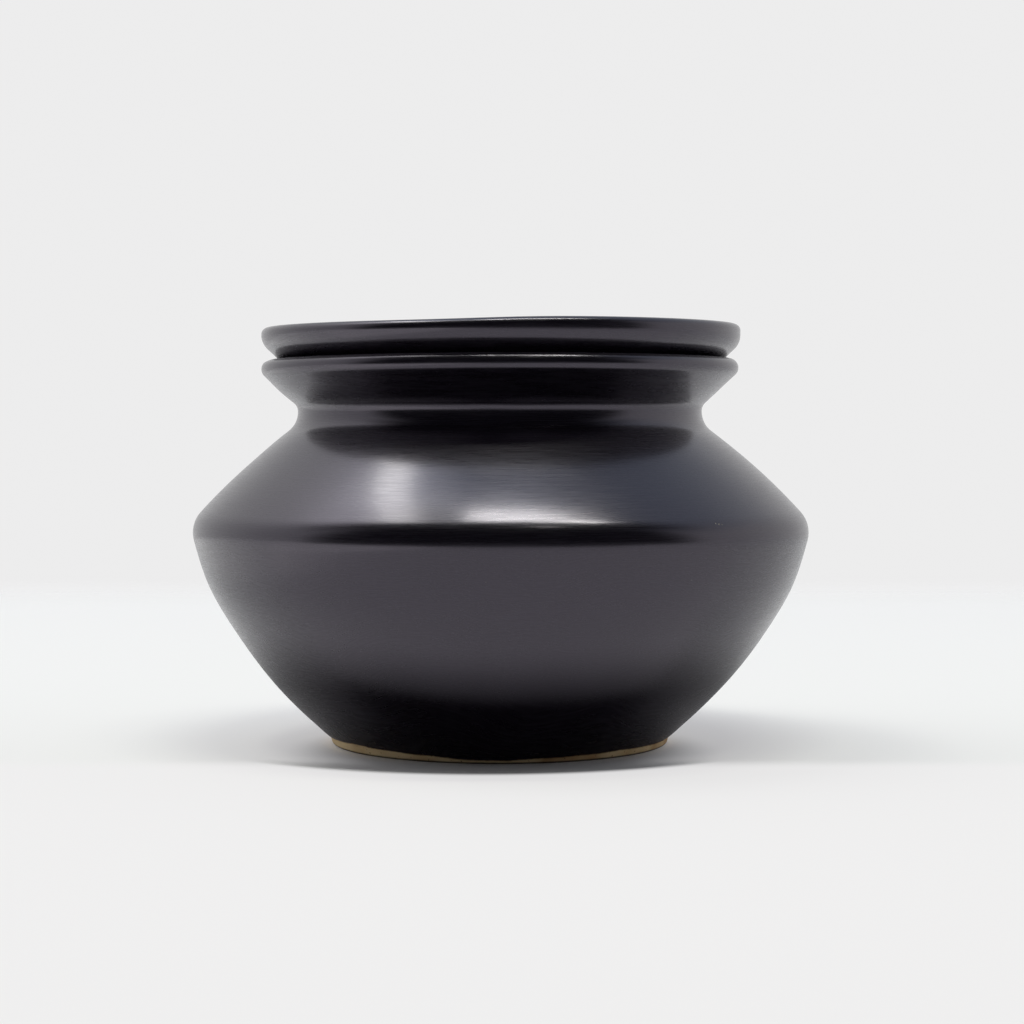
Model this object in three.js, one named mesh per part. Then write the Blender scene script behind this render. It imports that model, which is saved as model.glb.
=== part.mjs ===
// A lidded stoneware pot: a turned vessel on a low foot ring, closed by a dished lid
// that nests in the flared mouth and is lifted off by its overhanging rim.
// Millimetres, +Z up. The origin is the centre of the foot, on the surface the pot stands on.

import * as THREE from 'three';

// Foot ring: the bare clay ring that carries the vessel
const footDiameter = 87.2;
const footBand = 7.6; // width of the ring, from its bore to its outer edge
const footHeight = 1.8;
const footRound = 0.5;

// Vessel, outside, from the foot up
const glazeStep = 0.2; // how far the glazed wall stands out past the bare foot
const wallArc = 101; // radius of the swell from the foot to the belly
const bellyDiameter = 160;
const bellyHeight = 55.2;
const bellyRound = 7.2; // rounding of the edge between lower wall and shoulder
const shoulderArc = 153; // radius of the slight swell from the belly to the neck
const shoulderRise = 30.1; // from the belly's widest circle up to the neck's narrowest
const neckDiameter = 105.6;
const neckRound = 5.6;
const rimRise = 11.7; // from the neck's narrowest circle up to the lip's widest
const rimFlare = 8.8; // how far the lip stands out past the neck
const lipRound = 2.5;

// Vessel, inside
const wallThickness = 5;
const floorThickness = 6;
const floorRound = 14;
const insideRound = 12; // rounding of the hollow behind the belly's edge

// Lid
const seatGap = 0.35; // clearance between the lid's cone and the mouth's
const lidThickness = 5.2;
const lidDrop = 9; // how far the lid's underside hangs below the top of the lip
const lidTurn = 12; // rounding from the underside into the cone
const lidOverhang = 0.5; // how far the lid's rim stands out past the lip
const lidRimRound = 5; // rounding from the cone into the upright rim
const lidCrestRound = 1.7; // rounding over the top of the rim

// Fineness of the solids
const facets = 72;
const chordError = 0.08;
const coincident = 1e-6;

const point = (radius, height) => new THREE.Vector2(radius, height);

// The point at a distance and an angle from a centre.
function polar(center, distance, angle) {
  return point(center.x + distance * Math.cos(angle), center.y + distance * Math.sin(angle));
}

// The angle of the direction from one point to another.
function bearing(from, to) {
  return Math.atan2(to.y - from.y, to.x - from.x);
}

// Where two circles cross, on the left of the way from the first centre to the second.
function crossing(firstCenter, firstRadius, secondCenter, secondRadius) {
  const span = firstCenter.distanceTo(secondCenter);
  const along = (firstRadius ** 2 - secondRadius ** 2 + span ** 2) / (2 * span);
  return polar(firstCenter, firstRadius, bearing(firstCenter, secondCenter) + Math.acos(along / firstRadius));
}

// Points along an arc, both ends included, with no chord further from it than the chord error.
function arc(center, radius, start, end) {
  const step = 2 * Math.acos(1 - chordError / Math.max(radius, 2 * chordError));
  const count = Math.max(1, Math.ceil(Math.abs(end - start) / step));
  return Array.from({ length: count + 1 }, (_, i) => polar(center, radius, start + ((end - start) * i) / count));
}

// One outline from runs of points, where a run starts on the point that ended the last one.
function joined(...runs) {
  const outline = [];
  for (const next of runs.flat()) {
    const last = outline.at(-1);
    if (!last || last.distanceTo(next) > coincident) {
      outline.push(next);
    }
  }
  return outline;
}

// A solid of revolution about +Z, from an outline that goes round its section anticlockwise.
function turned(name, outline, material) {
  const geometry = new THREE.LatheGeometry(outline, facets).rotateX(Math.PI / 2);
  const mesh = new THREE.Mesh(geometry, material);
  mesh.name = name;
  return mesh;
}

// Rounds that the vessel's section is drawn with: each run of the wall touches the next one
const footEdge = point(footDiameter / 2 + glazeStep, footHeight);
const belly = point(bellyDiameter / 2 - bellyRound, bellyHeight);
const neck = point(neckDiameter / 2 + neckRound, bellyHeight + shoulderRise);
const lip = point(neckDiameter / 2 + rimFlare - lipRound, neck.y + rimRise);
const wall = crossing(footEdge, wallArc, belly, wallArc - bellyRound);
const shoulder = crossing(belly, shoulderArc - bellyRound, neck, shoulderArc + neckRound);

// Angles at which the straight flare and the straight seat inside the mouth leave the neck
const neckToLip = neck.distanceTo(lip);
const flareAngle = bearing(neck, lip) + Math.acos((neckRound + lipRound) / neckToLip);
const seatAngle = bearing(neck, lip) + Math.acos((neckRound + wallThickness - lipRound) / neckToLip);

function footOutline() {
  const outer = footDiameter / 2;
  const inner = outer - footBand;
  return joined(
    [point(inner + footRound, 0)],
    arc(point(outer - footRound, footRound), footRound, -Math.PI / 2, 0),
    [point(outer, footHeight), point(inner, footHeight)],
    arc(point(inner + footRound, footRound), footRound, -Math.PI, -Math.PI / 2),
  );
}

function vesselOutline() {
  const floor = footHeight + floorThickness;
  const innerWall = wallArc - wallThickness;
  const innerShoulder = shoulderArc - wallThickness;
  const hollow = crossing(wall, innerWall - insideRound, shoulder, innerShoulder - insideRound);
  const corner = point(0, floor + floorRound);
  corner.x = wall.x + Math.sqrt((innerWall - floorRound) ** 2 - (corner.y - wall.y) ** 2);
  const neckStart = bearing(shoulder, neck) + Math.PI;
  return joined(
    [point(0, footHeight)],
    arc(wall, wallArc, bearing(wall, footEdge), bearing(wall, belly)),
    arc(belly, bellyRound, bearing(wall, belly), bearing(shoulder, belly)),
    arc(shoulder, shoulderArc, bearing(shoulder, belly), bearing(shoulder, neck)),
    arc(neck, neckRound, neckStart, flareAngle),
    arc(lip, lipRound, flareAngle - Math.PI, seatAngle),
    arc(neck, neckRound + wallThickness, seatAngle, neckStart),
    arc(shoulder, innerShoulder, bearing(shoulder, neck), bearing(shoulder, hollow)),
    arc(hollow, insideRound, bearing(shoulder, hollow), bearing(wall, hollow)),
    arc(wall, innerWall, bearing(wall, hollow), bearing(wall, corner)),
    arc(corner, floorRound, bearing(wall, corner), -Math.PI / 2),
    [point(0, floor)],
  );
}

function lidOutline() {
  const underside = lip.y + lipRound - lidDrop;
  const rim = lip.x + lipRound + lidOverhang;
  const seat = polar(lip, lipRound + seatGap, seatAngle);
  const rise = Math.sin(seatAngle);
  const lean = Math.cos(seatAngle);
  const coneNormal = seatAngle - Math.PI;
  const crestRound = Math.min(lidCrestRound, lidThickness / 2);
  const rimRound = Math.min(lidRimRound, (lidThickness - crestRound * (1 - lean)) / (1 + lean));

  // Centres that lie a given depth above the cone, at a given height or a given radius
  const atHeight = (depth, height) => point(seat.x + (depth - (height - seat.y) * rise) / lean, height);
  const atRadius = (depth, radius) => point(radius, seat.y + (depth - (radius - seat.x) * lean) / rise);
  const turn = atHeight(lidTurn, underside + lidTurn);
  const lowerRim = atRadius(rimRound, rim - rimRound);
  const crest = atRadius(lidThickness - crestRound, rim - crestRound);
  return joined(
    [point(0, underside)],
    arc(turn, lidTurn, -Math.PI / 2, coneNormal),
    arc(lowerRim, rimRound, coneNormal, 0),
    arc(crest, crestRound, 0, seatAngle),
    arc(turn, lidTurn - lidThickness, coneNormal, -Math.PI / 2),
    [point(0, underside + lidThickness)],
  );
}

const glaze = new THREE.MeshStandardMaterial({ color: 0x1d1b1f, roughness: 0.28, metalness: 0 });
const bareClay = new THREE.MeshStandardMaterial({ color: 0x9c8460, roughness: 0.9, metalness: 0 });

const vessel = new THREE.Group();
vessel.add(turned('pot_body', vesselOutline(), glaze));
vessel.add(turned('foot_ring', footOutline(), bareClay));

const pot = new THREE.Group();
pot.name = 'lidded_pot';
pot.add(vessel);
pot.add(turned('lid', lidOutline(), glaze));

export default pot;
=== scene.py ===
"""A lidded stoneware pot: the looks of its glazed vessel, its bare foot and its dished lid.

Every piece is a surface turned about Z, in metres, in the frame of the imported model. An outline is
a row of complex numbers, radius + height * i, made of arcs and straight runs that meet end to end.
"""

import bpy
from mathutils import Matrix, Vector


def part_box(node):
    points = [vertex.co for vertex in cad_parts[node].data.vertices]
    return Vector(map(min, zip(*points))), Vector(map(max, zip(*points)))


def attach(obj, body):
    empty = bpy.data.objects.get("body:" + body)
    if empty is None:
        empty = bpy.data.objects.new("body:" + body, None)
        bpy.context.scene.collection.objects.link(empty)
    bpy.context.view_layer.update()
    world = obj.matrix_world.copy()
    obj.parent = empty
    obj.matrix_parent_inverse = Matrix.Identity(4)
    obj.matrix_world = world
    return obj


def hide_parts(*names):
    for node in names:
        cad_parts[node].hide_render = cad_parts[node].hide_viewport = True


bl_info = {
    "name": "Lidded Stoneware Pot",
    "version": (1, 0, 0),
    "blender": (4, 5, 0),
    "location": "View3D > Sidebar > Lidded Pot",
    "description": "Turns a black-glazed pot with bare foot and dished lid, lit on a pale table",
    "category": "Add Mesh",
}

import bpy
import numpy as np
from bpy.props import FloatProperty, FloatVectorProperty, IntProperty, PointerProperty

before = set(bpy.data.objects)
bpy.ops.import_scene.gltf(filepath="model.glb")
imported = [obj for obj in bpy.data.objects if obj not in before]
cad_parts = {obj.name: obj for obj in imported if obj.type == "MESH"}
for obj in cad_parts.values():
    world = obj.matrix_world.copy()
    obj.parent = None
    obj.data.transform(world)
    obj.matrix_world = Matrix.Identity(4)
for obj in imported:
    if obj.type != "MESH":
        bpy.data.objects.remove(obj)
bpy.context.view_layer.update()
VESSEL_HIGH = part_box("pot_body")[1]
FOOT_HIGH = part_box("foot_ring")[1]
LID_LOW, LID_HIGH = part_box("lid")

# Fineness of an outline: its longest step, its widest turn, and how near two points are that meet
LONGEST_STEP = 0.001
WIDEST_TURN = np.radians(7.5)
MEETING = 1e-9

# The way down in an outline, and the front among the angles round the axis
DOWN = -np.pi / 2
FRONT = -np.pi / 2


def setting(kind, **fixed):
    """A function that declares a setting of one kind by its name, description and default."""
    return lambda name, description, default: kind(
        name=name, description=description, default=default, **fixed
    )


# Metres, radians, shares of 1, watts, and linear red, green and blue
length = setting(FloatProperty, subtype="DISTANCE", unit="LENGTH", precision=5)
radians = setting(FloatProperty, subtype="ANGLE")
share = setting(FloatProperty, subtype="FACTOR", min=0, max=1)
power = setting(FloatProperty, subtype="POWER", min=0)
colour = setting(FloatVectorProperty, subtype="COLOR", size=3, min=0, max=1)


class VesselSizes(bpy.types.PropertyGroup):
    """Sizes of the vessel and its foot, read from the frame where its boxes give them."""

    foot_radius: length("Foot radius", "Outer radius of the bare foot", FOOT_HIGH.x)
    foot_band: length("Foot band", "Width of the foot ring, from bore to outer edge", 0.0076)
    foot_height: length("Foot height", "From the table to the vessel's underside", FOOT_HIGH.z)
    foot_round: length("Foot rounding", "Rounding of the foot's two lower edges", 0.0005)
    glaze_step: length("Glaze step", "How far the wall stands out past the bare foot", 0.0002)
    glaze_bead: length("Glaze bead", "Rounding of the lower edge of the wall", 0.00005)
    wall_arc: length("Wall arc", "Radius of the swell from the foot to the belly", 0.101)
    belly_radius: length("Belly radius", "Radius of the widest circle", VESSEL_HIGH.x)
    belly_height: length("Belly height", "Height of the widest circle", 0.0552)
    belly_round: length("Belly rounding", "Rounding between lower wall and shoulder", 0.0076)
    shoulder_arc: length("Shoulder arc", "Radius of the slight swell from belly to neck", 0.153)
    neck_radius: length("Neck radius", "Radius of the neck that shapes the inside", 0.0528)
    neck_height: length("Neck height", "Height of the neck that shapes the inside", 0.0853)
    neck_round: length("Neck rounding", "Rounding of the neck that shapes the inside", 0.0056)
    waist_radius: length("Waist radius", "Radius of the narrowest circle outside", 0.0522)
    waist_height: length("Waist height", "Height of the narrowest circle outside", 0.0862)
    waist_round: length("Waist rounding", "Rounding from the shoulder into the waist", 0.0063)
    throat_rise: length("Throat rise", "Height of the upright part of the waist", 0.0001)
    throat_round: length("Throat rounding", "Rounding from the waist into the flare", 0.0028)
    lip_radius: length("Lip radius", "Outer radius of the lip", 0.0616)
    lip_top: length("Lip top", "Height of the top of the lip", VESSEL_HIGH.z)
    lip_round: length("Lip rounding", "Rounding of the lip, which is half its thickness", 0.0024)
    wall: length("Wall", "Thickness of the wall", 0.005)
    floor: length("Floor", "Thickness of the floor", 0.006)
    floor_round: length("Floor rounding", "Rounding from the floor inside into the wall", 0.014)
    inside_round: length("Inside rounding", "Rounding of the hollow behind the belly", 0.012)


class LidSizes(bpy.types.PropertyGroup):
    """Sizes of the lid, which nests in the vessel's mouth."""

    seat_gap: length("Seat gap", "Clearance between the lid's cone and the mouth's", 0.00035)
    thickness: length("Thickness", "Thickness of the lid", 0.0052)
    underside: length("Underside", "Height of the flat underside", LID_LOW.z)
    turn: length("Turn", "Rounding from the underside into the cone", 0.012)
    rim_radius: length("Rim radius", "Outer radius of the rim", LID_HIGH.x)
    rim_round: length("Rim rounding", "Rounding from the cone into the upright rim", 0.005)
    crest_round: length("Crest rounding", "Rounding over the top of the rim", 0.0017)


class HandMarks(bpy.types.PropertyGroup):
    """What the potter's hands left: grooves, a lean, a dent and an uneven edge of glaze."""

    around: IntProperty(
        name="Steps around", description="Points on each turned circle", default=240, min=24
    )
    groove_pitch: length("Groove pitch", "From one throwing groove to the next", 0.0068)
    groove_depth: length("Groove depth", "Depth of the throwing grooves inside", 0.00022)
    lid_groove_depth: length("Lid groove depth", "Depth of the grooves in the dish", 0.00014)
    sway: length("Sway", "How far the belly is out of round", 0.00018)
    slack: length("Slack", "How far the body stays inside its drawn outline", 0.00022)
    wall_swell: length("Wall swell", "How far the lower wall bulges past its arc", 0.00072)
    edge_lift: length("Edge lift", "How much higher the belly's edge runs in front", 0.0005)
    lip_lift: length("Lip lift", "How much higher the lip stands at the front", 0.00055)
    flare_swell: length("Flare swell", "How far neck and flare bulge on the left", 0.0005)
    foot_swell: length("Foot swell", "How far the foot and the wall's end stand out", 0.0004)
    foot_lean: length("Foot lean", "How far the foot is shifted to the left", 0.00033)
    foot_slope: share("Foot slope", "How far the foot's side goes in over its height", 0.3)
    crest_lean: length("Crest lean", "How far the lid's crest is up or down at its sides", 0.0005)
    rim_lift: length("Rim lift", "How far the lid's lower edge rises in front and behind", 0.00045)
    dent_depth: length("Dent depth", "Depth of the thumb mark in the neck", 0.0003)
    dent_angle: radians("Dent angle", "From the front rightwards to the thumb mark", np.radians(8))
    bare_band: length("Bare band", "Height of the bare clay round the foot", 0.0024)
    front_dip: length("Front dip", "How much lower the glaze runs at the front", 0.0013)
    line_lean: length("Line lean", "How much lower the glaze runs on the right", 0.0003)
    line_wave: length("Line wave", "Height of the waves in the edge of the glaze", 0.00012)


class Finish(bpy.types.PropertyGroup):
    """Colours and gloss of the two surfaces."""

    glaze: colour("Glaze", "Colour of thick glaze", (0.0010, 0.0006, 0.0015))
    thin_glaze: colour("Thin glaze", "Colour of thin glaze", (0.0022, 0.0015, 0.0030))
    glaze_edge: colour("Glaze edge", "Colour where the glaze ends on clay", (0.110, 0.045, 0.014))
    clay: colour("Clay", "Colour of the fired bare clay", (0.60, 0.47, 0.27))
    clay_flash: colour("Clay flash", "Colour where the fire touched clay", (0.36, 0.21, 0.085))
    pinhole: colour("Pinhole", "Colour of the clay in a pinhole of the glaze", (0.22, 0.20, 0.18))
    gloss: share("Gloss roughness", "Roughness of the glaze where it is sharp", 0.19)
    satin: share("Satin roughness", "Roughness of the glaze where it is satin", 0.31)
    brush: length("Brush relief", "Height of the fine lines in the glaze", 0.0000045)
    grain: length("Grain", "Height of the fine grain in the glaze", 0.000004)
    ripple: length("Ripple", "Height of the slow waves in the glaze", 0.00010)


class Studio(bpy.types.PropertyGroup):
    """Camera, table, backdrop and lamps."""

    camera_away: length("Camera distance", "From the pot's axis to the camera", 0.6265)
    camera_height: length("Camera height", "From the table to the camera", 0.08447)
    camera_side: length("Camera side", "How far the camera is right of the pot's axis", 0.00288)
    camera_tilt: radians("Camera tilt", "Tilt below the horizon", np.radians(2.243))
    lens: FloatProperty(
        name="Lens",
        description="Focal length on a sensor 36 wide",
        default=84.375,
        subtype="DISTANCE_CAMERA",
    )
    table: colour("Table", "Colour of the table", (0.88, 0.87, 0.875))
    backdrop: colour("Backdrop", "Colour of the backdrop at the horizon", (0.846, 0.844, 0.846))
    ceiling: colour("Ceiling", "Colour of the backdrop overhead", (0.45, 0.52, 0.63))
    # Painted light: shares of the table's brightness that it gives off itself, apart from painted
    # shadows
    painted_table_light: share("Table glow", "Share of the table's light that comes from below", 0.45)
    painted_front_light: share("Front glow", "The same share in front of the pot", 0.8)
    table_depth: length("Table depth", "From the pot's axis to the table's far edge", 0.53)
    lamp_height: length("Lamp height", "Height of the lamps above the table", 1.55)
    top_lamp: power("Top lamp", "Power of the lamp that lights the belly's edge", 8.0)
    soft_lamp: power("Soft lamp", "Power of the wide lamp beside it", 1.0)
    left_lamp: power("Left lamp", "Power of the lamp that lights the left shoulder", 3.55)
    wide_lamp: power("Wide lamp", "Power of the faint lamp round the left one's near end", 1.0)
    glint_lamp: power("Glint lamp", "Power of the small lamp in front", 0.4)


class PotSettings(bpy.types.PropertyGroup):
    """All the settings of the pot."""

    vessel: PointerProperty(type=VesselSizes)
    lid: PointerProperty(type=LidSizes)
    marks: PointerProperty(type=HandMarks)
    finish: PointerProperty(type=Finish)
    studio: PointerProperty(type=Studio)


# Curves

def smooth(value, low, high):
    """0 up to low, 1 from high on, and t * t * (3 - 2t) between them."""
    part = np.clip((value - low) / (high - low), 0, 1)
    return part * part * (3 - 2 * part)


def band(value, low, rise_end, fall_start, high):
    """0 up to low and from high on, 1 from rise_end to fall_start, and smooth steps between."""
    return smooth(value, low, rise_end) * (1 - smooth(value, fall_start, high))


def bell(value, middle, width):
    """1 in the middle and less on both sides: e to the power of -((value - middle) / width)^2."""
    return np.exp(-(((value - middle) / width) ** 2))


# Outlines

def bearing(start, end):
    """The angle of the way from one point to another."""
    return np.angle(end - start)


def polar(center, distance, angle):
    """The point at a distance and an angle from a centre: center + distance * e^(i * angle)."""
    return center + distance * np.exp(1j * angle)


def crossing(first, first_reach, second, second_reach):
    """Where two circles a and b cross, left of the way d from the first centre to the second.

    The way there turns off d by the angle whose cosine is (a^2 - b^2 + d^2) / (2 * a * d).
    """
    span = abs(second - first)
    cosine = (first_reach**2 - second_reach**2 + span**2) / (2 * first_reach * span)
    return polar(first, first_reach, bearing(first, second) + np.arccos(cosine))


def arc(center, radius, start, end):
    """Points on a circle at even angles from start to end, both included."""
    sweep = abs(end - start)
    count = int(np.ceil(max(sweep / WIDEST_TURN, sweep * radius / LONGEST_STEP)))
    return polar(center, radius, np.linspace(start, end, count + 1))


def straight(start, end, step=LONGEST_STEP):
    """Points at even steps on the line from start to end, or start alone where the two meet."""
    span = abs(end - start)
    count = int(np.ceil(span / step)) if span > MEETING else 0
    return np.linspace(start, end, count + 1)


def joined(*runs):
    """One outline through the runs in order, with a straight line where two of them don't meet."""
    outline = runs[0]
    for run in runs[1:]:
        outline = np.concatenate([outline, straight(outline[-1], run[0])[1:], run[1:]])
    return outline


class Mouth:
    """Neck, waist, throat and lip: the centres of their rounds, and two straights' angles.

    A straight that touches two circles turns off the way d between their centres by the angle whose
    cosine is the sum of their radii over d, as the flare does, or their difference over d, as the
    seat inside does.
    """

    def __init__(self, sizes):
        throat_height = sizes.waist_height + sizes.throat_rise
        self.neck = complex(sizes.neck_radius + sizes.neck_round, sizes.neck_height)
        self.waist = complex(sizes.waist_radius + sizes.waist_round, sizes.waist_height)
        self.throat = complex(sizes.waist_radius + sizes.throat_round, throat_height)
        self.lip = complex(sizes.lip_radius - sizes.lip_round, sizes.lip_top - sizes.lip_round)
        both = sizes.throat_round + sizes.lip_round
        beyond = sizes.neck_round + sizes.wall - sizes.lip_round
        self.flare = bearing(self.throat, self.lip) + np.arccos(both / abs(self.lip - self.throat))
        self.seat = bearing(self.neck, self.lip) + np.arccos(beyond / abs(self.lip - self.neck))


def vessel_outline(sizes):
    """The vessel's section in two runs: the outside up to the top of the seat, and the inside.

    Belly, waist, throat and lip are small circles, wall and shoulder large arcs that touch them.
    The centre of such an arc lies where circles about two small ones' centres cross, whose radii
    are sums or differences of its radius and theirs. The wall's arc goes through the foot's edge.
    Behind the shoulder the inside follows an arc of its own, from belly to neck.
    """
    mouth = Mouth(sizes)
    neck, waist, lip = mouth.neck, mouth.waist, mouth.lip
    foot_edge = complex(sizes.foot_radius + sizes.glaze_step, sizes.foot_height)
    belly = complex(sizes.belly_radius - sizes.belly_round, sizes.belly_height)
    wall = crossing(foot_edge, sizes.wall_arc, belly, sizes.wall_arc - sizes.belly_round)
    to_belly = sizes.shoulder_arc - sizes.belly_round
    shoulder = crossing(belly, to_belly, waist, sizes.shoulder_arc + sizes.waist_round)
    behind = crossing(belly, to_belly, neck, sizes.shoulder_arc + sizes.neck_round)
    inner_wall = sizes.wall_arc - sizes.wall
    inner_shoulder = sizes.shoulder_arc - sizes.wall
    to_wall = inner_wall - sizes.inside_round
    to_shoulder = inner_shoulder - sizes.inside_round
    hollow = crossing(wall, to_wall, behind, to_shoulder)

    def resting(height, reach):
        """The point at a height and a distance from the wall's centre, on its outer side."""
        return complex(wall.real + np.sqrt(reach**2 - (height - wall.imag) ** 2), height)

    floor_top = sizes.foot_height + sizes.floor
    bead = resting(sizes.foot_height + sizes.glaze_bead, sizes.wall_arc - sizes.glaze_bead)
    corner = resting(floor_top + sizes.floor_round, inner_wall - sizes.floor_round)
    outside = joined(
        np.array([complex(0, sizes.foot_height)]),
        arc(bead, sizes.glaze_bead, DOWN, bearing(wall, bead)),
        arc(wall, sizes.wall_arc, bearing(wall, bead), bearing(wall, belly)),
        arc(belly, sizes.belly_round, bearing(wall, belly), bearing(shoulder, belly)),
        arc(shoulder, sizes.shoulder_arc, bearing(shoulder, belly), bearing(shoulder, waist)),
        arc(waist, sizes.waist_round, bearing(shoulder, waist) + np.pi, np.pi),
        arc(mouth.throat, sizes.throat_round, np.pi, mouth.flare),
        arc(lip, sizes.lip_round, mouth.flare - np.pi, mouth.seat),
    )
    inside = joined(
        outside[-1:],
        arc(neck, sizes.neck_round + sizes.wall, mouth.seat, bearing(behind, neck) + np.pi),
        arc(behind, inner_shoulder, bearing(behind, neck), bearing(behind, hollow)),
        arc(hollow, sizes.inside_round, bearing(behind, hollow), bearing(wall, hollow)),
        arc(wall, inner_wall, bearing(wall, hollow), bearing(wall, corner)),
        arc(corner, sizes.floor_round, bearing(wall, corner), DOWN),
        np.array([complex(0, floor_top)]),
    )
    return outside, inside


def lid_outline(sizes, vessel):
    """The lid's section in two runs, the underside up to the crest and the dish from there.

    The cone lies the seat gap above the mouth's seat. A centre d above the cone lies where the line
    parallel to it meets a given height or radius: (x - sx) * lean + (z - sz) * rise = d.
    """
    mouth = Mouth(vessel)
    seat = polar(mouth.lip, vessel.lip_round + sizes.seat_gap, mouth.seat)
    rise, lean = np.sin(mouth.seat), np.cos(mouth.seat)
    cone = mouth.seat - np.pi

    # The rim's lower rounding ends no higher than its crest begins
    most_round = (sizes.thickness - sizes.crest_round * (1 - lean)) / (1 + lean)
    rim_round = min(sizes.rim_round, most_round)

    def at_height(depth, height):
        """The centre at a depth above the cone and a height."""
        return complex(seat.real + (depth - (height - seat.imag) * rise) / lean, height)

    def at_radius(depth, radius):
        """The centre at a depth above the cone and a radius."""
        return complex(radius, seat.imag + (depth - (radius - seat.real) * lean) / rise)

    turn = at_height(sizes.turn, sizes.underside + sizes.turn)
    lower_rim = at_radius(rim_round, sizes.rim_radius - rim_round)
    crest = at_radius(sizes.thickness - sizes.crest_round, sizes.rim_radius - sizes.crest_round)
    below = joined(
        np.array([complex(0, sizes.underside)]),
        arc(turn, sizes.turn, DOWN, cone),
        arc(lower_rim, rim_round, cone, 0),
        arc(crest, sizes.crest_round, 0, mouth.seat),
    )
    dish = joined(
        below[-1:],
        arc(turn, sizes.turn - sizes.thickness, cone, DOWN),
        np.array([complex(0, sizes.underside + sizes.thickness)]),
    )
    return below, dish


def foot_outline(sizes):
    """The foot ring's section: a flat band with both lower edges rounded, closed on itself.

    Its outer side has finer steps, because the edge of the glaze runs over it.
    """
    outer = sizes.foot_radius
    inner = outer - sizes.foot_band
    edge = sizes.foot_round
    side_end = complex(outer, sizes.foot_height)
    return joined(
        np.array([complex(inner + edge, 0)]),
        arc(complex(outer - edge, edge), edge, DOWN, 0),
        straight(complex(outer, edge), side_end, LONGEST_STEP / 20),
        np.array([complex(inner, sizes.foot_height)]),
        arc(complex(inner + edge, edge), edge, -np.pi, DOWN),
    )[:-1]


# Turned meshes

def placed(name, data):
    """A new object in the scene."""
    made = bpy.data.objects.new(name, data)
    bpy.context.scene.collection.objects.link(made)
    return made


class Section:
    """An outline, of one run or two, against the angles round the axis.

    Radius and height are columns, and angles and turns are rows, so both together give arrays of
    outline by angle. Angles go evenly from +X towards +Y. Turns are the same angles, measured from
    the front to the right, from -pi to pi.
    """

    def __init__(self, around, *runs):
        self.outline = joined(*runs)
        self.radius = self.outline.real[:, None]
        self.height = self.outline.imag[:, None]
        self.number = np.arange(len(self.outline))[:, None]
        self.inner = self.number >= len(runs[0])
        self.angles = np.linspace(0, 2 * np.pi, around, endpoint=False)
        self.turns = (self.angles - FRONT + np.pi) % (2 * np.pi) - np.pi


def grooves(section, pitch):
    """A spiral wave: the sine of the outline's length over the pitch, a turn later each round."""
    run = np.concatenate([[0], np.cumsum(np.abs(np.diff(section.outline)))])
    return np.sin(2 * np.pi * run[:, None] / pitch + section.angles)


def turned(name, section, swell=0.0, spread=0.0, lift=0.0):
    """Turns a section about Z: a point is (radius * cos, radius * sin, height) at each angle.

    Before that each point moves by swell along the outline's outward normal, which is its direction
    turned a quarter to the right, by spread away from the axis and by lift upwards. All three are
    arrays of outline by angle. An outline that starts and ends on the axis is closed by a pole at
    each end, and another by its first ring.
    """
    outline, angles = section.outline, section.angles
    direction = np.gradient(outline)
    normal = -1j * direction / np.abs(direction)
    moved = outline[:, None] + normal[:, None] * swell + spread + 1j * lift + 0 * angles
    radius, height = moved.real, moved.imag
    points = np.stack([radius * np.cos(angles), radius * np.sin(angles), height], axis=-1)
    if not np.isfinite(points).all():
        raise ValueError(f"{name}: these sizes don't meet in one outline")

    has_poles = abs(outline[0].real) < MEETING
    rings = points[1:-1] if has_poles else points
    index = np.arange(rings.shape[0] * len(angles)).reshape(rings.shape[:2])
    above = index[1:] if has_poles else np.roll(index, -1, axis=0)
    below = index[:-1] if has_poles else index
    after = np.roll(below, -1, axis=1)
    after_above = np.roll(above, -1, axis=1)
    faces = np.stack([below, after, after_above, above], axis=-1).reshape(-1, 4).tolist()
    vertices = rings.reshape(-1, 3)
    if has_poles:
        first, last = len(vertices), len(vertices) + 1
        poles = [[0, 0, outline[0].imag], [0, 0, outline[-1].imag]]
        vertices = np.concatenate([vertices, poles])
        start, end = index[0], index[-1]
        faces += np.stack([np.roll(start, -1), start, np.full_like(start, first)], axis=-1).tolist()
        faces += np.stack([end, np.roll(end, -1), np.full_like(end, last)], axis=-1).tolist()

    mesh = bpy.data.meshes.new(name)
    mesh.from_pydata(vertices.tolist(), [], faces, shade_flat=False)
    mesh.validate()
    return placed(name, mesh)


def mark_rings(piece, name, values):
    """Stores one number for each point of a turned piece, from an array of outline by angle.

    Where the piece has fewer points than the array, its first and last rings are poles, which come
    last.
    """
    attribute = piece.data.attributes.new(name, "FLOAT", "POINT")
    points = values.ravel()
    if len(points) > len(attribute.data):
        points = np.concatenate([values[1:-1].ravel(), values[[0, -1], 0]])
    attribute.data.foreach_set("value", points.astype(np.float32))


# Shaders

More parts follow.
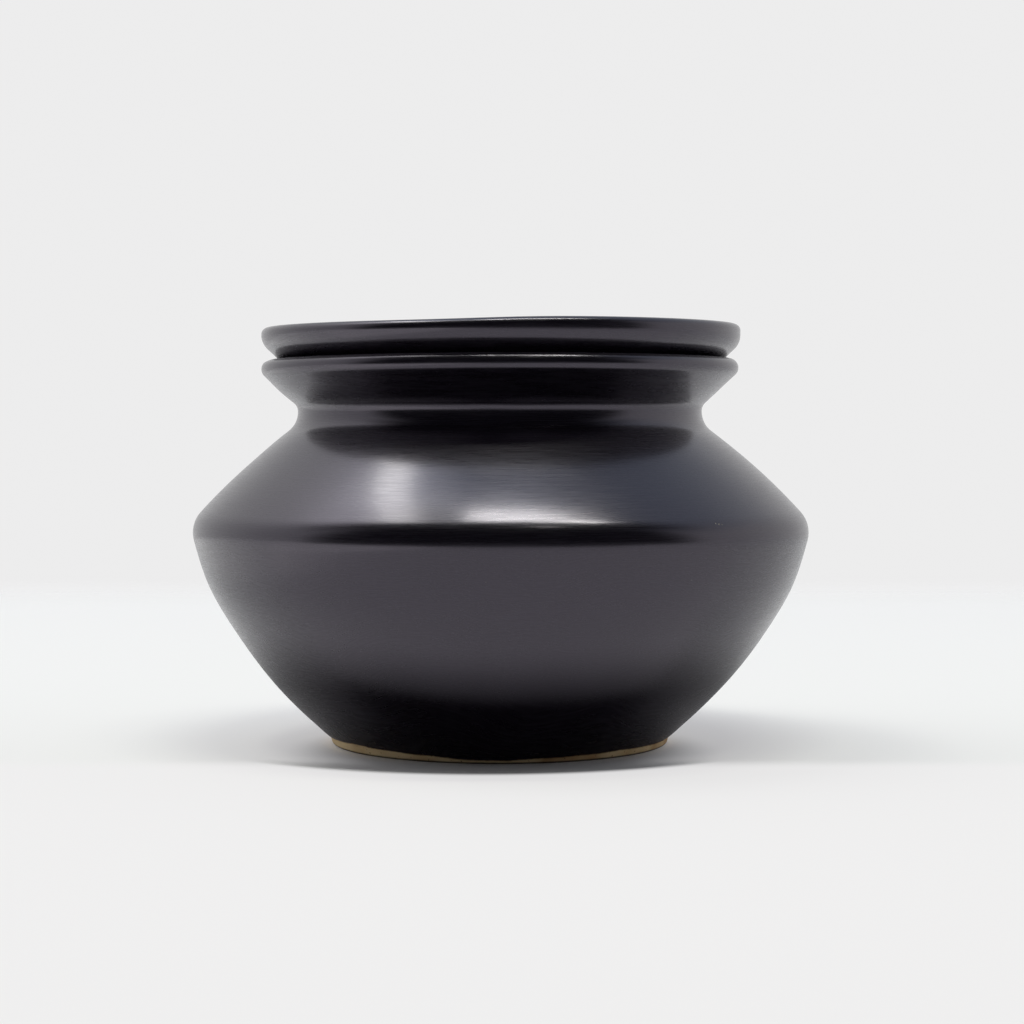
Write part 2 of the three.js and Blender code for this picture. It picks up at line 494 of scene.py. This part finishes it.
class Wire:
    """A socket of a node tree.

    Arithmetic on wires adds Math nodes, so a pattern reads as its formula.
    """

    def __init__(self, tree, socket=None):
        self.tree = tree
        self.socket = socket

    def node(self, kind, sockets=None, output=0, **settings):
        """Adds a node of a kind: first its settings, then the values or links of its sockets."""
        made = self.tree.nodes.new("ShaderNode" + kind)
        for name, value in settings.items():
            setattr(made, name, value)
        for name, value in (sockets or {}).items():
            if isinstance(value, Wire):
                self.tree.links.new(value.socket, made.inputs[name])
            else:
                made.inputs[name].default_value = value
        return Wire(self.tree, made.outputs[output] if made.outputs else None)

    def math(self, operation, other):
        """A Math node on this value and another."""
        return self.node("Math", {0: self, 1: other}, operation=operation)

    def vector_math(self, operation, other, output=0):
        """A Vector Math node on this vector and another."""
        return self.node("VectorMath", {0: self, 1: other}, output, operation=operation)

    def __add__(self, other):
        return self.math("ADD", other)

    def __sub__(self, other):
        return self.math("SUBTRACT", other)

    def __rsub__(self, other):
        return self.node("Math", {0: other, 1: self}, operation="SUBTRACT")

    def __mul__(self, other):
        return self.math("MULTIPLY", other)

    def __pow__(self, other):
        return self.math("POWER", other)

    def __neg__(self):
        return 0 - self

    __radd__ = __add__
    __rmul__ = __mul__

    def larger(self, other):
        """The larger of two values."""
        return self.math("MAXIMUM", other)

    def smooth(self, low, high):
        """0 up to low and 1 from high on, with a smooth step between them."""
        ends = {"Value": self, "From Min": low, "From Max": high}
        return self.node("MapRange", ends, interpolation_type="SMOOTHSTEP")

    def noise(self, scale, detail=2.0, roughness=0.5):
        """Noise over this vector, from about 0 to 1."""
        sockets = {"Vector": self, "Scale": scale, "Detail": detail, "Roughness": roughness}
        return self.node("TexNoise", sockets)

    def scaled(self, x, y, z):
        """This vector times another, part by part."""
        return self.vector_math("MULTIPLY", (x, y, z))

    def distance(self, place):
        """From this point to another."""
        return self.vector_math("DISTANCE", place, "Value")

    def dot(self, axis):
        """The length of this vector along an axis of length 1."""
        return self.vector_math("DOT_PRODUCT", axis, "Value")

    def from_axis(self):
        """The distance of this point from the Z axis."""
        return self.scaled(1, 1, 0).distance((0, 0, 0))

    def parts(self):
        """The X, Y and Z of this vector."""
        split = self.node("SeparateXYZ", {0: self}).socket.node
        return [Wire(self.tree, socket) for socket in split.outputs]

    def round_lines(self, along, across, detail, roughness):
        """Noise in lines round the Z axis.

        Along is its grains per metre in X and Y, and across is the value that it runs over in Z.
        """
        x, y, _ = self.parts()
        stretched = self.node("CombineXYZ", {"X": x * along, "Y": y * along, "Z": across})
        return stretched.noise(1.0, detail, roughness)

    def between(self, first, second):
        """A colour from first to second as this value goes from 0 to 1."""
        return self.node("Mix", {0: self, 6: first, 7: second}, output=2, data_type="RGBA")

    def mixed(self, first, second):
        """A shader from first to second as this value goes from 0 to 1."""
        return self.node("MixShader", {0: self, 1: first, 2: second})


def opaque(colour_value):
    """A colour with full alpha."""
    return (*colour_value, 1.0)


def new_material(name):
    """An empty material, and a wire into its node tree."""
    material = bpy.data.materials.new(name)
    material.use_nodes = True
    material.node_tree.nodes.clear()
    return material, Wire(material.node_tree)


def show(wire, surface, kind="OutputMaterial"):
    """Links a shader to the output."""
    wire.node(kind, {"Surface": surface})


# Noises of the glaze, in grains per metre
SWIRL_GRAINS = 30
CLOUD_GRAINS = 38
RIPPLE_GRAINS = 85
GLAZE_GRAINS = 2200
BRUSH_ALONG = 100
BRUSH_ACROSS = 2300

BRUSH_LEAN = 0.6  # how much the brush lines count the radius, against 1 for the height
SWIRL_REACH = 0.010  # how far the swirl moves them
SWIRL_FADE = 0.006  # how far below the belly it has faded in

GLAZE_IOR = 1.72
GLAZE_TINT = (0.90, 0.83, 1.0, 1.0)

# Painted shade near the foot: the glaze turns matt and stops reflecting towards its edge
PAINTED_SHADE_FADE = (0.013, 0.031)  # heights above the glaze's edge
PAINTED_SHADE_ROUND = 0.65  # how much painted shade the edge gets all round
PAINTED_SHADE_IN_FRONT = 0.25  # and how much more in front
FRONT_FADE = (0.03, 0.06)  # distances in front of the axis


def brush_lines(place, belly_height):
    """Fine lines round the pot, from 0 to 1: noise that is stretched along the turning.

    Across the lines it runs over height less a share of the radius, which changes along walls and
    floors alike. Below the belly a slow noise bends them into the arcs of a brush.
    """
    height = place.parts()[2]
    below_belly = 1 - height.smooth(belly_height - SWIRL_FADE, belly_height)
    swirl = (place.noise(SWIRL_GRAINS, 1.0) - 0.5) * below_belly
    across = (height - place.from_axis() * BRUSH_LEAN + swirl * SWIRL_REACH) * BRUSH_ACROSS
    return place.round_lines(BRUSH_ALONG, across, 3.0, 0.6)


def pinhole_mask(place, spots):
    """1 inside the given small spheres and 0 outside them, with a soft edge."""
    mask = None
    for center, radius in spots:
        spot = 1 - place.distance(center).smooth(radius * 0.6, radius * 1.2)
        mask = spot if mask is None else mask.larger(spot)
    return mask


def glaze_shader(wire, place, finish, belly_height, cover=None, spots=()):
    """A black glaze whose gloss is sharp in some brush lines and satin in others.

    Its relief is the sum of the lines, a fine grain and slow waves, each times its height. Where
    cover, the height above the glaze's edge, is given, the glaze turns matt and stops reflecting
    towards that edge, most of all in front: painted shade near the foot. Where spots are given,
    pinholes go down to the clay.
    """
    lines = brush_lines(place, belly_height)
    clouds = place.noise(CLOUD_GRAINS, 3.0)
    thin = (lines * 0.5 + clouds * 0.5).smooth(0.42, 0.66)
    tone = thin.between(opaque(finish.glaze), opaque(finish.thin_glaze))
    waves = place.scaled(0.6, 0.6, 1).noise(RIPPLE_GRAINS, 1.0)
    grain = place.noise(GLAZE_GRAINS, 1.0)
    relief = lines * finish.brush + grain * finish.grain + waves * finish.ripple
    normal = wire.node("Bump", {"Strength": 1.0, "Distance": 1.0, "Height": relief})
    body = {"Base Color": tone, "Normal": normal, "IOR": GLAZE_IOR, "Specular Tint": GLAZE_TINT}
    sharp = wire.node("BsdfPrincipled", {**body, "Roughness": finish.gloss})
    satin = wire.node("BsdfPrincipled", {**body, "Roughness": finish.satin})
    satin_share = 0.1 + lines.smooth(0.3, 0.7) * 0.35 + clouds * 0.1
    surface = satin_share.mixed(sharp, satin)

    # Painted shade: towards the glaze's edge, most in front, the glaze turns matt and stops
    # reflecting
    if cover is not None:
        matt = {"Base Color": tone, "Roughness": 0.9, "Specular IOR Level": 0.0}
        shade_matt = wire.node("BsdfPrincipled", matt)
        in_front = (-place.parts()[1]).smooth(*FRONT_FADE)
        painted_shade = (1 - cover.smooth(*PAINTED_SHADE_FADE)) * (PAINTED_SHADE_ROUND + in_front * PAINTED_SHADE_IN_FRONT)
        surface = painted_shade.mixed(surface, shade_matt)
    if spots:
        bare = {"Base Color": opaque(finish.pinhole), "Roughness": 0.8}
        hole = wire.node("BsdfPrincipled", bare)
        surface = pinhole_mask(place, spots).mixed(surface, hole)
    return surface


# Noises of the clay, in grains per metre
FLASH_GRAINS = 60
SPECK_GRAINS = 1500
CLAY_GRAINS = 2600
TURNING_ALONG = 60
TURNING_ACROSS = 5000

CLAY_RELIEF = 0.00006
# Painted contact shadow low on the foot's outer side: its heights and its depths
CONTACT_SHADOW_HEIGHTS = (0.0002, 0.0007)
CONTACT_SHADOW_DEPTHS = (0.0018, 0.0008)  # inwards from the foot's radius


def clay_shader(wire, place, finish, edge):
    """Bare clay with lines and specks, brown where edge is 1, and painted shadow at the table.

    Its relief is 0.6 times the lines plus a fine grain.
    """
    height = place.parts()[2]
    lines = place.round_lines(TURNING_ALONG, height * TURNING_ACROSS, 2.0, 0.5)
    grain = place.noise(CLAY_GRAINS, 2.0)
    flash = place.noise(FLASH_GRAINS, 2.0).smooth(0.4, 0.7)
    tone = flash.between(opaque(finish.clay), opaque(finish.clay_flash))
    speck = place.noise(SPECK_GRAINS, 1.0).smooth(0.68, 0.76)
    tone = (speck * 0.7).between(tone, opaque(finish.glaze_edge))
    tone = (edge * 0.85).between(tone, opaque(finish.glaze_edge))
    # Painted contact shadow: the outer side darkens to the glaze's colour at the table
    outer = place.from_axis().smooth(*(FOOT_HIGH.x - depth for depth in CONTACT_SHADOW_DEPTHS))
    contact_shadow = (1 - height.smooth(*CONTACT_SHADOW_HEIGHTS)) * outer
    tone = (contact_shadow * 0.9).between(tone, opaque(finish.glaze))
    relief = {"Strength": 1.0, "Distance": CLAY_RELIEF, "Height": lines * 0.6 + grain}
    normal = wire.node("Bump", relief)
    body = {"Base Color": tone, "Roughness": 0.9, "Normal": normal}
    return wire.node("BsdfPrincipled", body)


def glaze_material(name, finish, belly_height):
    """Glaze all over."""
    material, wire = new_material(name)
    place = wire.node("TexCoord", output="Object")
    show(wire, glaze_shader(wire, place, finish, belly_height))
    return material


# The edge of the glaze: its noise in grains per metre, how far that moves it, and heights above it
# where the glaze begins and where the brown line begins and ends
EDGE_GRAINS = 900
EDGE_RAGGED = 0.00025
GLAZE_START = (-0.00003, 0.00006)
BROWN_START = (-0.00035, 0.0)
BROWN_END = (0.00008, 0.0003)


def dipped_material(name, finish, belly_height, spots=()):
    """Glaze where the piece's glaze_cover is above 0, bare clay below, and a brown line between.

    glaze_cover is a height above the edge of the glaze, in metres.
    """
    material, wire = new_material(name)
    place = wire.node("TexCoord", output="Object")
    cover = wire.node("Attribute", output="Fac", attribute_name="glaze_cover")
    ragged = cover + (place.noise(EDGE_GRAINS, 2.0) - 0.5) * EDGE_RAGGED
    edge = ragged.smooth(*BROWN_START) * (1 - ragged.smooth(*BROWN_END))
    clay = clay_shader(wire, place, finish, edge)
    glaze = glaze_shader(wire, place, finish, belly_height, cover, spots)
    show(wire, ragged.smooth(*GLAZE_START).mixed(clay, glaze))
    return material


# Vessel

PINHOLES = (
    # front angle in degrees, height and size in millimetres
    (33.9, 46.6, 0.22),
    (34.7, 46.55, 0.24),
    (35.5, 46.5, 0.28),
    (40.5, 59.6, 0.22),
    (41.2, 59.4, 0.24),
    (41.9, 59.3, 0.18),
    (-15.9, 58.4, 0.16),
    (-2.3, 46.8, 0.12),
    (-33.9, 40.8, 0.14),
    (151.0, 38.0, 0.22),
    (-118.0, 63.0, 0.2),
)

DIP_WIDTH = 0.6  # angle
GLAZE_WAVES = (
    # waves a turn, phase, share
    (5, 1, 1.0),
    (11, 4, 0.7),
    (23, 2, 0.5),
)

# Where the vessel's marks lie or fade, as heights where nothing else is said
GROOVE_RADII = (0.003, 0.012)
GROOVE_TOP = (-0.018, -0.008)  # from the neck's height
OVAL_ENDS = (0.008, 0.08)
SLACK_BAND = (0.003, 0.012, 0.076)
BULGE_HEIGHT = 0.041
BULGE_REACH = 0.0095
LEFT_SIDE = (0.3, 1)  # sine of the angle from the front to the left
NECK_START = (0.072, 0.082)
FLARE_HEIGHT = 0.091
FLARE_REACH = 0.003
LIP_END = (-0.001, 0)  # from the lip's top
FOOT_RIM = 0.004  # inwards from the foot's radius
FOOT_SWELL_END = 0.006
FOOT_LEAN_END = (0.008, 0.028)
EDGE_BAND = (0.046, 0.057, 0.062, 0.072)
EDGE_WIDTH = 0.75  # angle
LIP_LOW = 0.09
LIP_RISE = (0.086, 0.0965)
LIP_CROWN = (0.0576, 0.0602)  # radii
THUMB_REACH = 0.003
THUMB_WIDTH = 0.1  # angle
RIDGE_ANGLE = -0.2  # from the thumb mark
RIDGE_SHARE = 0.6  # of the thumb mark's depth


def pinhole_spots(outside):
    """Centre and radius of each pinhole, on the outside of the vessel at its angle and height."""
    rising = outside[: np.argmax(outside.imag)]
    turns, heights, sizes = (np.array(PINHOLES) * [np.pi / 180, 0.001, 0.001]).T
    radii = np.interp(heights, rising.imag, rising.real)
    centers = np.stack([radii * np.sin(turns), -radii * np.cos(turns), heights], axis=-1)
    return list(zip(centers.tolist(), sizes.tolist()))


def glaze_line(section, marks):
    """Height of the glaze's edge: a dip at the front, a lower right side and waves round it."""
    dip = marks.front_dip * bell(section.turns, 0, DIP_WIDTH)
    lean = marks.line_lean * np.sin(section.turns)
    waves = sum(part * np.sin(count * section.angles + phase) for count, phase, part in GLAZE_WAVES)
    return marks.bare_band - dip - lean + marks.line_wave * waves


def vessel_swell(section, sizes, marks):
    """How far the vessel's surface goes out along its normal.

    Inside is a spiral of grooves, which fades out below the seat and at the middle of the floor.
    Outside, the belly is a little oval, by waves of two and three a turn.
    The thumb mark is a bell curve in height and round the neck, with a lower ridge on its left.
    """
    height, angles = section.height, section.angles
    below_seat = 1 - smooth(height - sizes.neck_height, *GROOVE_TOP)
    depth = marks.groove_depth * below_seat * smooth(section.radius, *GROOVE_RADII)
    inside = depth * grooves(section, marks.groove_pitch)

    low, high = OVAL_ENDS
    belly = band(height, low, sizes.belly_height, sizes.belly_height, high)
    oval = np.cos(2 * angles + 0.9) + 0.5 * np.cos(3 * angles + 2.2) - 1
    off_thumb = section.turns - marks.dent_angle
    ridge = RIDGE_SHARE * bell(off_thumb, RIDGE_ANGLE, THUMB_WIDTH)
    thumb = bell(off_thumb, 0, THUMB_WIDTH) - ridge
    dent = marks.dent_depth * bell(height, sizes.waist_height, THUMB_REACH) * thumb
    return np.where(section.inner, inside, marks.sway * belly * oval - dent)


def vessel_spread(section, sizes, marks):
    """How far the vessel's outside goes away from the axis.

    The body stays a little inside its outline but for a bulge of the lower wall. On the left the
    neck bulges, and the flare once more. The foot's end of the wall stands out and leans that way.
    """
    height, turns = section.height, section.turns
    bulge = marks.wall_swell * bell(height, BULGE_HEIGHT, BULGE_REACH)
    slack = marks.slack * band(height, *SLACK_BAND, sizes.neck_height)
    on_left = smooth(-np.sin(turns), *LEFT_SIDE) * (1 - smooth(height - sizes.lip_top, *LIP_END))
    flare = bell(height, FLARE_HEIGHT, FLARE_REACH) + smooth(height, *NECK_START)
    stand = marks.foot_swell * (1 - smooth(height, sizes.foot_height, FOOT_SWELL_END))
    lean = marks.foot_lean * np.sin(turns) * (1 - smooth(height, *FOOT_LEAN_END))
    outwards = smooth(section.radius - sizes.foot_radius, -FOOT_RIM, 0)
    spread = bulge - slack + marks.flare_swell * flare * on_left + (stand - lean) * outwards
    return spread * ~section.inner


def vessel_lift(section, marks):
    """How far the vessel's outside is raised.

    The belly's edge climbs towards the front by a bell curve. The lip climbs by the cosine of the
    angle from there, and a little to the right. Its lift fades in up the flare as far as the lip's
    widest circle, and from there it fades out over the crown by the radius.
    """
    height, turns = section.height, section.turns
    edge = marks.edge_lift * bell(turns, 0, EDGE_WIDTH) * band(height, *EDGE_BAND)
    widest = np.argmax(section.radius * (height > LIP_LOW) * ~section.inner)
    crown = smooth(section.radius, *LIP_CROWN)
    on_lip = np.where(section.number <= widest, smooth(height, *LIP_RISE), crown)
    lip = marks.lip_lift * (0.2 + 0.35 * np.sin(turns) + np.cos(turns)) * on_lip
    return (edge + lip) * ~section.inner


def vessel_cover(section, sizes, marks):
    """Height above the edge of the glaze on the wall. Underneath and inside all is glazed."""
    underneath = section.radius < sizes.foot_radius - 0.001
    above = section.inner | (section.height > sizes.neck_height)
    wall = section.height - glaze_line(section, marks)
    return np.where(above, section.height, np.where(underneath, 0.001, wall))


def wear(piece, material, body, node):
    """Gives a finished piece its material and body, and hides the CAD node that it stands for."""
    piece.data.materials.append(material)
    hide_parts(node)
    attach(piece, body)


class LIDDED_POT_OT_add_vessel(bpy.types.Operator):
    """Turn the glazed vessel, with throwing grooves inside and a thumb mark in its neck"""

    bl_idname = "lidded_pot.add_vessel"
    bl_label = "Add Vessel"

    def execute(self, context):
        settings = context.scene.lidded_pot
        sizes, marks = settings.vessel, settings.marks
        outside, inside = vessel_outline(sizes)
        section = Section(marks.around, outside, inside)
        swell = vessel_swell(section, sizes, marks)
        spread = vessel_spread(section, sizes, marks)
        piece = turned("glazed_vessel", section, swell, spread, vessel_lift(section, marks))
        mark_rings(piece, "glaze_cover", vessel_cover(section, sizes, marks))
        spots = pinhole_spots(outside)
        material = dipped_material("vessel_glaze", settings.finish, sizes.belly_height, spots)
        wear(piece, material, "vessel", "pot_body")
        return {"FINISHED"}


# Foot

class LIDDED_POT_OT_add_foot(bpy.types.Operator):
    """Turn the bare foot ring, with the uneven edge of the glaze on its outer side"""

    bl_idname = "lidded_pot.add_foot"
    bl_label = "Add Foot"

    def execute(self, context):
        settings = context.scene.lidded_pot
        sizes, marks = settings.vessel, settings.marks
        section = Section(2 * marks.around, foot_outline(sizes))
        from_edge = section.radius - sizes.foot_radius

        # The glaze reaches onto the side where its edge dips below the top of the ring
        above_line = section.height - glaze_line(section, marks)
        on_side = from_edge > -sizes.foot_round / 2
        cover = np.where(on_side, above_line, -sizes.foot_height)

        # The side stands out as far as the wall above it, slopes in downwards and leans to the left
        slope = marks.foot_slope * (sizes.foot_height - section.height)
        lean = marks.foot_lean * np.sin(section.turns)
        out = sizes.glaze_step + marks.foot_swell - slope - lean
        outwards = smooth(from_edge, -FOOT_RIM, -sizes.foot_round)
        piece = turned("bare_foot", section, spread=out * outwards)
        mark_rings(piece, "glaze_cover", cover)
        material = dipped_material("foot_clay", settings.finish, sizes.belly_height)
        wear(piece, material, "vessel", "foot_ring")
        return {"FINISHED"}


# Lid

DISH_MIDDLE = (0.002, 0.01)  # radii over which the grooves begin
DISH_END = (-0.012, -0.004)  # from the rim's radius, where they end
RIM_START = (-0.007, -0.0015)  # from the rim's radius
RIM_UPPER = (-0.004, -0.002)  # from the lid's top


def lid_swell(section, sizes, marks):
    """A spiral of grooves in the dish, which fades out under the rim and at the dish's middle."""
    under_rim = 1 - smooth(section.radius - sizes.rim_radius, *DISH_END)
    depth = marks.lid_groove_depth * smooth(section.radius, *DISH_MIDDLE) * under_rim
    return depth * grooves(section, marks.groove_pitch) * section.inner


def lid_lift(section, sizes, marks):
    """How far the lid's rim is raised, while its middle stays level.

    The crest steps down from right to left by the hyperbolic tangent of the sine of the angle from
    the front. The rim's lower edge rises in front and behind by the square of its cosine.
    """
    crest = marks.crest_lean * (np.tanh(3.5 * np.sin(section.turns) + 0.15) - 0.2)
    lower = marks.rim_lift * (0.55 + np.cos(section.turns) ** 2)
    upper_share = smooth(section.height - LID_HIGH.z, *RIM_UPPER)
    near_rim = smooth(section.radius - sizes.rim_radius, *RIM_START)
    return (lower + (crest - lower) * upper_share) * near_rim


class LIDDED_POT_OT_add_lid(bpy.types.Operator):
    """Turn the dished lid, whose crest leans a little to the left"""

    bl_idname = "lidded_pot.add_lid"
    bl_label = "Add Lid"

    def execute(self, context):
        settings = context.scene.lidded_pot
        sizes, marks = settings.lid, settings.marks
        section = Section(marks.around, *lid_outline(sizes, settings.vessel))
        swell = lid_swell(section, sizes, marks)
        piece = turned("dished_lid", section, swell, lift=lid_lift(section, sizes, marks))
        material = glaze_material("lid_glaze", settings.finish, settings.vessel.belly_height)
        wear(piece, material, "lid", "lid")
        return {"FINISHED"}


# Stage

# The table: half its side, and where its edges fade
TABLE_REACH = 3.0
FAR_EDGE = (-0.12, 0.1)  # from the table's depth
NEAR_EDGE = (0.31, 0.48)  # in front of the axis

# Painted shadows on the glowing table: one round the pot and one that takes its place in front
POT_SHADOW = (0, -0.018, 0)
POT_SHADOW_EDGE = (0.034, 0.058)
FRONT_SHADOW = (-0.004, 0.021, 0)
FRONT_SHADOW_EDGE = (0.0785, 0.0845)
FRONT_START = (0.034, 0.05)  # in front of the axis

# Painted light on the table's left, seen only in reflections: its colour, where it begins, and its
# slant
LEFT_PAINTED_LIGHT = (1.5, 1.48, 1.45, 1.0)
LEFT_START = (0.135, 0.2)
LEFT_SLANT = 0.21

# The dark room: its radius, and its light below the horizon and above
ROOM_REACH = 2.0
ROOM_LOW = (0.20, 0.20, 0.21, 1)
ROOM_HIGH = (0.012, 0.012, 0.016, 1)

LAMP_TINT = (1.0, 1.03, 0.88)
LAMPS = (
    # name, place to the right and behind, width and depth
    ("top_lamp", (0.235, -0.285), (0.89, 0.12)),
    ("soft_lamp", (-0.06, -0.215), (0.88, 0.23)),
    ("left_lamp", (-0.625, 0.08), (0.22, 0.72)),
    ("wide_lamp", (-0.57, -0.11), (0.64, 0.36)),
    ("glint_lamp", (0.36, -0.85), (0.2, 0.08)),
)

# Where the backdrop turns cooler, upwards and to the right, as parts of a direction of length 1
COOL_UPWARDS = (0.25, 0.9)
COOL_RIGHT = (-0.6, -0.1)
GLOWS = (
    # direction, how sharply it narrows, and strength over the backdrop's
    ((-0.6, 0.2, 1), 11, 0.8),
    ((-0.45, 0.15, 1), 40, 2.4),
    ((0.08, -0.12, 1), 60, 1.2),
)


def grid_object(name, points):
    """A mesh over a grid of points, an array of rows by columns by 3."""
    index = np.arange(points.shape[0] * points.shape[1]).reshape(points.shape[:2])
    corners = [index[:-1, :-1], index[:-1, 1:], index[1:, 1:], index[1:, :-1]]
    mesh = bpy.data.meshes.new(name)
    faces = np.stack(corners, axis=-1).reshape(-1, 4).tolist()
    mesh.from_pydata(points.reshape(-1, 3).tolist(), [], faces, shade_flat=False)
    made = placed(name, mesh)
    return made


def add_table(studio):
    """A wide flat table whose edges, far behind the pot and nearer in front of it, fade out softly.

    Part of its brightness is painted light that it gives off itself, save in two painted shadows:
    a soft spot round the pot and a sharper one in front of it. On the left, out of the picture, it
    gives off more painted light, which the pot mirrors but the camera doesn't see.
    """
    side = np.array([-TABLE_REACH, TABLE_REACH])
    width, depth = np.meshgrid(side, side)
    table = grid_object("table", np.stack([width, depth, 0 * width], axis=-1))
    material, wire = new_material("table_paper")
    place = wire.node("TexCoord", output="Object")
    flat = place.scaled(1, 1, 0)
    across, away, _ = place.parts()
    ahead = -away
    behind = away.smooth(*(studio.table_depth + edge for edge in FAR_EDGE))
    gone = behind.larger(ahead.smooth(*NEAR_EDGE))

    # Painted light from the table itself, left out in painted shadows round the pot and in front of
    # it
    in_front = ahead.smooth(*FRONT_START)
    past_pot_shadow = flat.distance(POT_SHADOW).smooth(*POT_SHADOW_EDGE) * (1 - in_front)
    past_front_shadow = flat.distance(FRONT_SHADOW).smooth(*FRONT_SHADOW_EDGE) * in_front
    painted_light = past_pot_shadow * studio.painted_table_light + past_front_shadow * studio.painted_front_light
    # Painted light for reflections only: the table glows brighter on the left, where the camera
    # doesn't look
    unseen = 1 - wire.node("LightPath", output="Is Camera Ray")
    on_left = (-across - away * LEFT_SLANT).smooth(*LEFT_START) * unseen
    light = on_left.between(opaque(studio.table), LEFT_PAINTED_LIGHT)
    paper = wire.node("BsdfDiffuse", {"Color": opaque(studio.table)})
    sheet = painted_light.mixed(paper, wire.node("Emission", {"Color": light}))
    show(wire, gone.mixed(sheet, wire.node("BsdfTransparent")))
    table.data.materials.append(material)


def add_dark_room():
    """The unlit side of the room, behind the camera: part of a sphere that the camera doesn't see.

    It is grey below the horizon and black above, and fades out to the sides and overhead.
    """
    turns = np.radians(np.linspace(-110, 110, 45))
    climbs = np.radians(np.linspace(-30, 84, 20))
    turns, climbs = np.meshgrid(turns, climbs)
    level = np.cos(climbs)
    points = np.stack([level * np.sin(turns), -level * np.cos(turns), np.sin(climbs)], axis=-1)
    room = grid_object("dark_room", ROOM_REACH * points)
    room.visible_camera = False
    room.visible_shadow = False
    room.visible_transmission = False
    material, wire = new_material("dark_room")
    _, away, height = wire.node("TexCoord", output="Object").parts()
    ahead = -away

    def fade(value, low, high):
        """A smooth step between two shares of the room's radius."""
        return value.smooth(low * ROOM_REACH, high * ROOM_REACH)

    shut = fade(ahead, 0.18, 0.48).larger(fade(height, 0.35, 0.75))
    shut = shut * (1 - fade(height, 0.955, 0.985)) * fade(ahead, -0.1, 0.3)
    tone = fade(height, -0.15, 0.08).between(ROOM_LOW, ROOM_HIGH)
    glow = wire.node("Emission", {"Color": tone})
    show(wire, shut.mixed(wire.node("BsdfTransparent"), glow))
    room.data.materials.append(material)


def add_lamps(studio):
    """Rectangular softboxes that face straight down, and that the camera doesn't see."""
    for name, place, size in LAMPS:
        light = bpy.data.lights.new(name, "AREA")
        light.shape = "RECTANGLE"
        light.size, light.size_y = size
        light.energy = getattr(studio, name)
        light.color = LAMP_TINT
        lamp = placed(name, light)
        lamp.location = (*place, studio.lamp_height)
        lamp.visible_camera = False


def set_world(studio):
    """The backdrop, pale at the horizon and on the left, and cooler overhead and on the right.

    Soft glows surround the lamps, each a power of the cosine of the angle to its direction.
    """
    world = bpy.data.worlds.new("studio")
    world.use_nodes = True
    world.node_tree.nodes.clear()
    bpy.context.scene.world = world
    wire = Wire(world.node_tree)
    direction = wire.node("TexCoord", output="Generated")
    across, _, height = direction.parts()
    overhead = height.smooth(*COOL_UPWARDS) * across.smooth(*COOL_RIGHT)
    tone = overhead.between(opaque(studio.backdrop), opaque(studio.ceiling))
    strength = 1.0
    for toward, narrowness, brightness in GLOWS:
        axis = np.array(toward) / np.linalg.norm(toward)
        strength = strength + direction.dot(axis).larger(0) ** narrowness * brightness
    show(wire, wire.node("Background", {"Color": tone, "Strength": strength}), "OutputWorld")


def add_camera(studio):
    """The camera in front of the pot, level but for a slight tilt down."""
    data = bpy.data.cameras.new("camera")
    data.sensor_width = 36
    data.lens = studio.lens
    camera = placed("camera", data)
    camera.location = (studio.camera_side, -studio.camera_away, studio.camera_height)
    camera.rotation_euler = (np.pi / 2 - studio.camera_tilt, 0, 0)
    bpy.context.scene.camera = camera


class LIDDED_POT_OT_set_stage(bpy.types.Operator):
    """Set the table, the backdrop, the lamps and the camera round the pot"""

    bl_idname = "lidded_pot.set_stage"
    bl_label = "Set Stage"

    def execute(self, context):
        studio = context.scene.lidded_pot.studio
        context.scene.view_settings.view_transform = "Standard"
        add_table(studio)
        add_dark_room()
        set_world(studio)
        add_lamps(studio)
        add_camera(studio)
        return {"FINISHED"}


# Sidebar

class LIDDED_POT_PT_sidebar(bpy.types.Panel):
    """Sizes, finish and studio of the pot"""

    bl_label = "Lidded Pot"
    bl_space_type = "VIEW_3D"
    bl_region_type = "UI"
    bl_category = "Lidded Pot"

    def draw(self, context):
        settings = context.scene.lidded_pot
        for operator in OPERATORS:
            self.layout.operator(operator.bl_idname)
        for part in PotSettings.__annotations__:
            group = getattr(settings, part)
            box = self.layout.box()
            for name in group.__annotations__:
                box.prop(group, name)


OPERATORS = (
    LIDDED_POT_OT_add_vessel,
    LIDDED_POT_OT_add_foot,
    LIDDED_POT_OT_add_lid,
    LIDDED_POT_OT_set_stage,
)
CLASSES = (
    VesselSizes,
    LidSizes,
    HandMarks,
    Finish,
    Studio,
    PotSettings,
    *OPERATORS,
    LIDDED_POT_PT_sidebar,
)


def register():
    for cls in CLASSES:
        bpy.utils.register_class(cls)
    bpy.types.Scene.lidded_pot = PointerProperty(type=PotSettings)


def unregister():
    del bpy.types.Scene.lidded_pot
    for cls in reversed(CLASSES):
        bpy.utils.unregister_class(cls)


def main():
    """Builds the pot and its stage."""
    register()
    bpy.ops.lidded_pot.add_vessel()
    bpy.ops.lidded_pot.add_foot()
    bpy.ops.lidded_pot.add_lid()
    bpy.ops.lidded_pot.set_stage()


if __name__ == "__main__":
    main()
